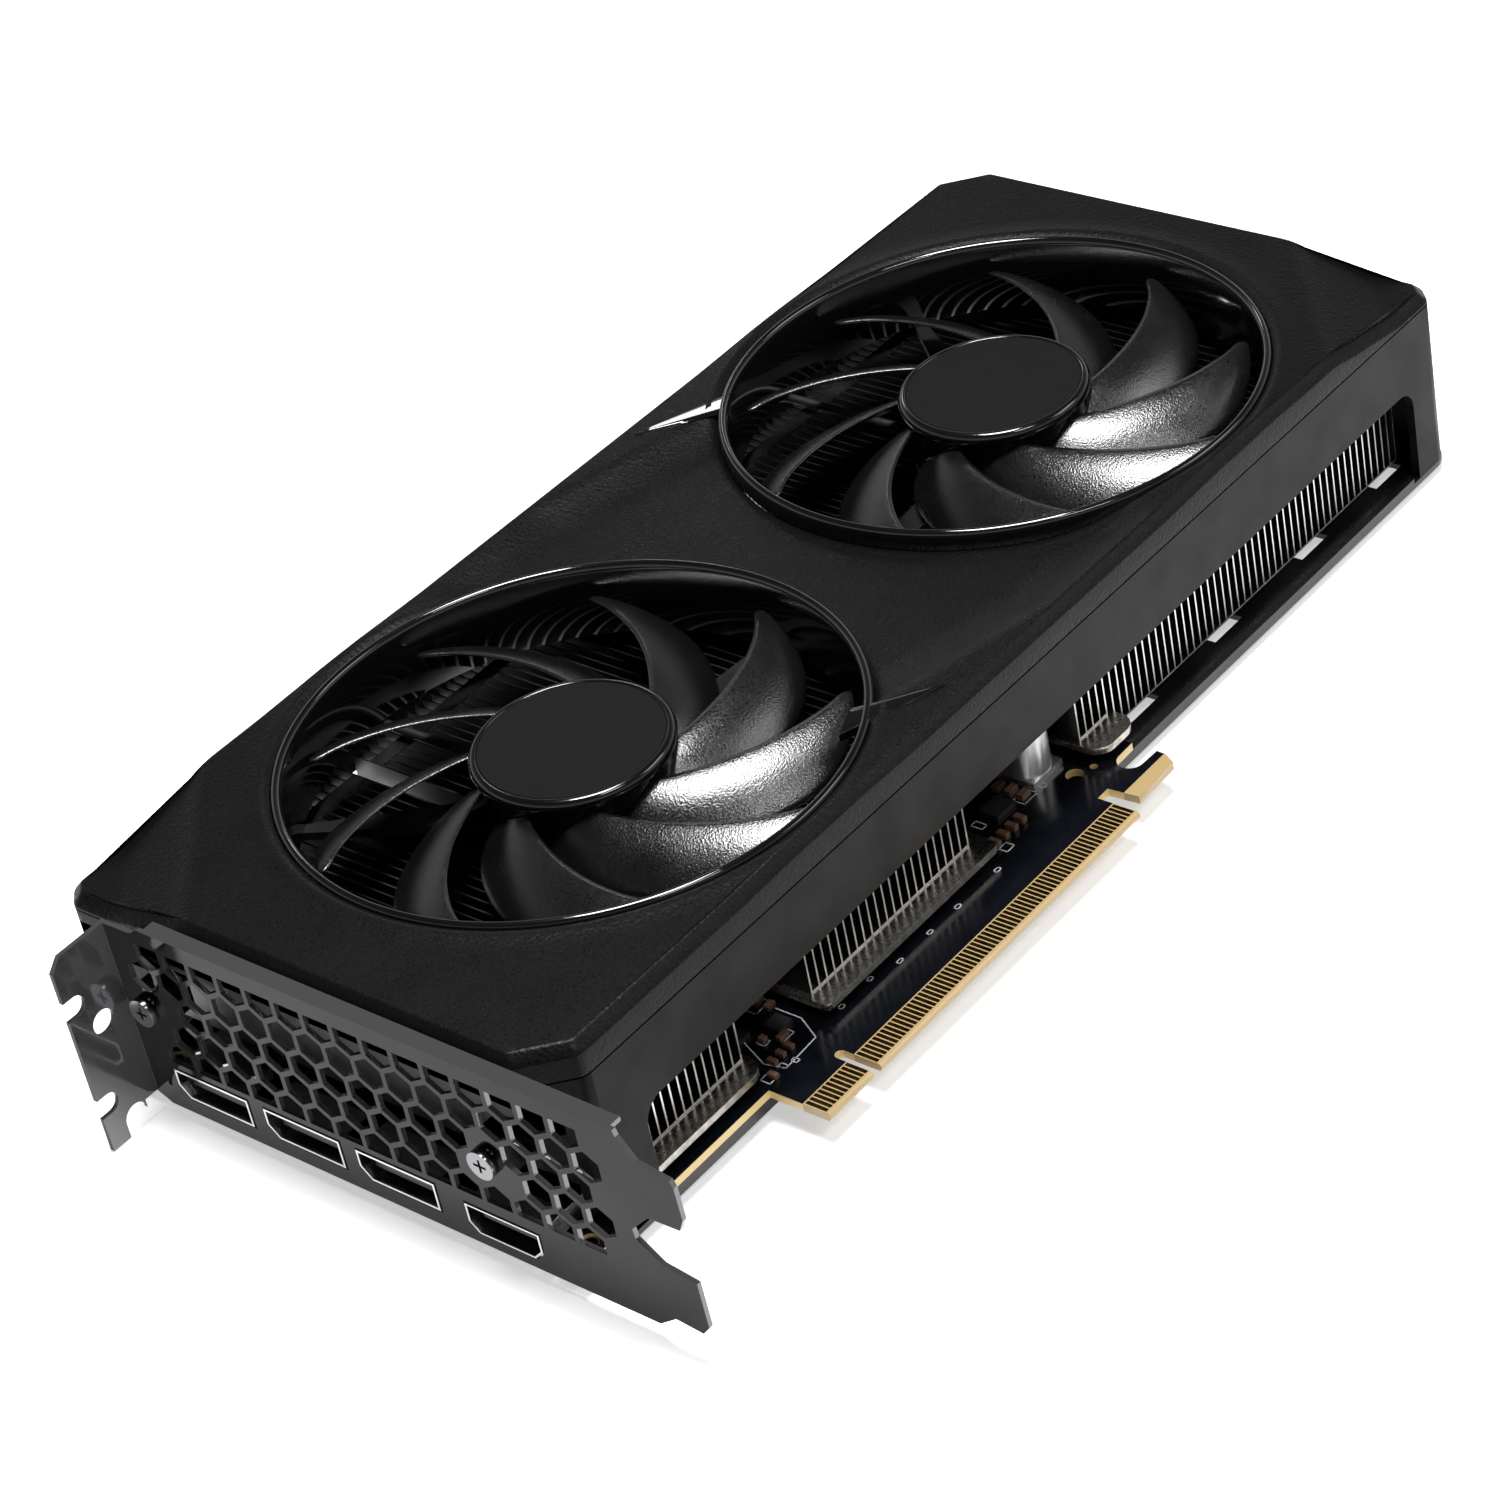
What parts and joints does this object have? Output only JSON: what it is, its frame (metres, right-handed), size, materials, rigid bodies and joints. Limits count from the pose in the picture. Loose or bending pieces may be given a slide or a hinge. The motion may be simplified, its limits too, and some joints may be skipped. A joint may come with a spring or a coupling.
{
  "type": "graphics card",
  "caption": "Dual-slot graphics card with axial fans in a black shroud, finned heatsink, vented slot bracket with display sockets, and a keyed card edge.",
  "frame": {"origin": "middle of the key notch in the card edge, at the free end of the fingers, halfway through the board", "axes": "+X along the card towards the tail, away from the bracket; -Y out of the card edge into the slot; +Z from the board towards the fans"},
  "size_m": [0.2616, 0.1335, 0.0417],
  "materials": {
    "cover_plastic": "black, fine leather grain",
    "frame_plastic": "dark grey-black, fine even texture",
    "gloss_black": "polished black",
    "rotor_plastic": "satin black with a faint sparkle",
    "hub_cap_satin": "flat satin dark grey",
    "base_plastic": "moulded black",
    "steel": "bright",
    "black_steel": "black oxide",
    "bronze": "sintered bronze",
    "magnet": "dark ferrite",
    "winding": "enamelled copper on steel",
    "lead_sheath": "black sleeve",
    "header_plastic": "ivory nylon",
    "fin_aluminium": "bright rolled sheet",
    "nickel": "nickel plate",
    "pad": "soft grey pad",
    "spring_steel": "spring steel",
    "board": "black solder mask over glass-epoxy with a pale yellow edge",
    "contact_gold": "gold plate",
    "package": "dark green laminate",
    "die": "polished silicon",
    "chip_plastic": "black moulding compound",
    "choke": "pressed ferrite",
    "can_aluminium": "silver can",
    "ceramic": "brown ceramic with tinned ends",
    "socket_plastic": "black nylon",
    "socket_metal": "nickel-plated steel",
    "bracket_nickel": "black nickel, near mirror",
    "bracket_screw_steel": "dark nickel",
    "backplate_paint": "satin black paint",
    "brass": "turned brass"
  },
  "bodies": {
    "card": {"backplate": "backplate_paint", "backplate_screws": "black_steel", "bracket": "bracket_nickel", "bracket_screws": "bracket_screw_steel", "can_capacitors": "can_aluminium", "chip_capacitors": "ceramic", "chokes": "choke", "circuit_board": "board", "cold_plate": "nickel", "controller_chips": "chip_plastic", "cooler_bracket": "spring_steel", "cooler_screws": "steel", "cover_accents": "gloss_black", "cover_screws": "black_steel", "displayport_socket_1": "socket_metal", "displayport_socket_2": "socket_metal", "displayport_socket_3": "socket_metal", "edge_contacts": "contact_gold", "fan_headers": "header_plastic", "fan_screws": "black_steel", "front_base_plate": "nickel", "front_fan_base": "base_plastic", "front_fan_bearing": "bronze", "front_fan_lead": "lead_sheath", "front_fan_ring": "gloss_black", "front_fan_stator": "winding", "front_fin_stack": "fin_aluminium", "gpu_die": "die", "gpu_package": "package", "hdmi_socket": "socket_metal", "heat_pipes": "nickel", "memory_chips": "chip_plastic", "middle_fin_stack": "fin_aluminium", "power_pins": "contact_gold", "power_socket": "socket_plastic", "power_stages": "chip_plastic", "rear_fan_base": "base_plastic", "rear_fan_bearing": "bronze", "rear_fan_lead": "lead_sheath", "rear_fan_ring": "gloss_black", "rear_fan_stator": "winding", "side_frame": "frame_plastic", "socket_tongues": "socket_plastic", "standoffs": "brass", "tail_base_plate": "nickel", "tail_fin_stack": "fin_aluminium", "thermal_pads": "pad", "top_cover": "cover_plastic"},
    "front_rotor": {"front_fan_rotor": "rotor_plastic", "front_hub_cap": "hub_cap_satin", "front_fan_shaft": "steel", "front_fan_magnet": "magnet"},
    "rear_rotor": {"rear_fan_rotor": "rotor_plastic", "rear_hub_cap": "hub_cap_satin", "rear_fan_shaft": "steel", "rear_fan_magnet": "magnet"}
  },
  "joints": [
    {"name": "front_fan_spin", "type": "hinge", "parent": "card", "child": "front_rotor", "pos_m": [0.0126, 0.066, 0.02779], "axis": [0, 0, 1], "continuous": true},
    {"name": "rear_fan_spin", "type": "hinge", "parent": "card", "child": "rear_rotor", "pos_m": [0.1291, 0.066, 0.02779], "axis": [0, 0, 1], "continuous": true}
  ]
}
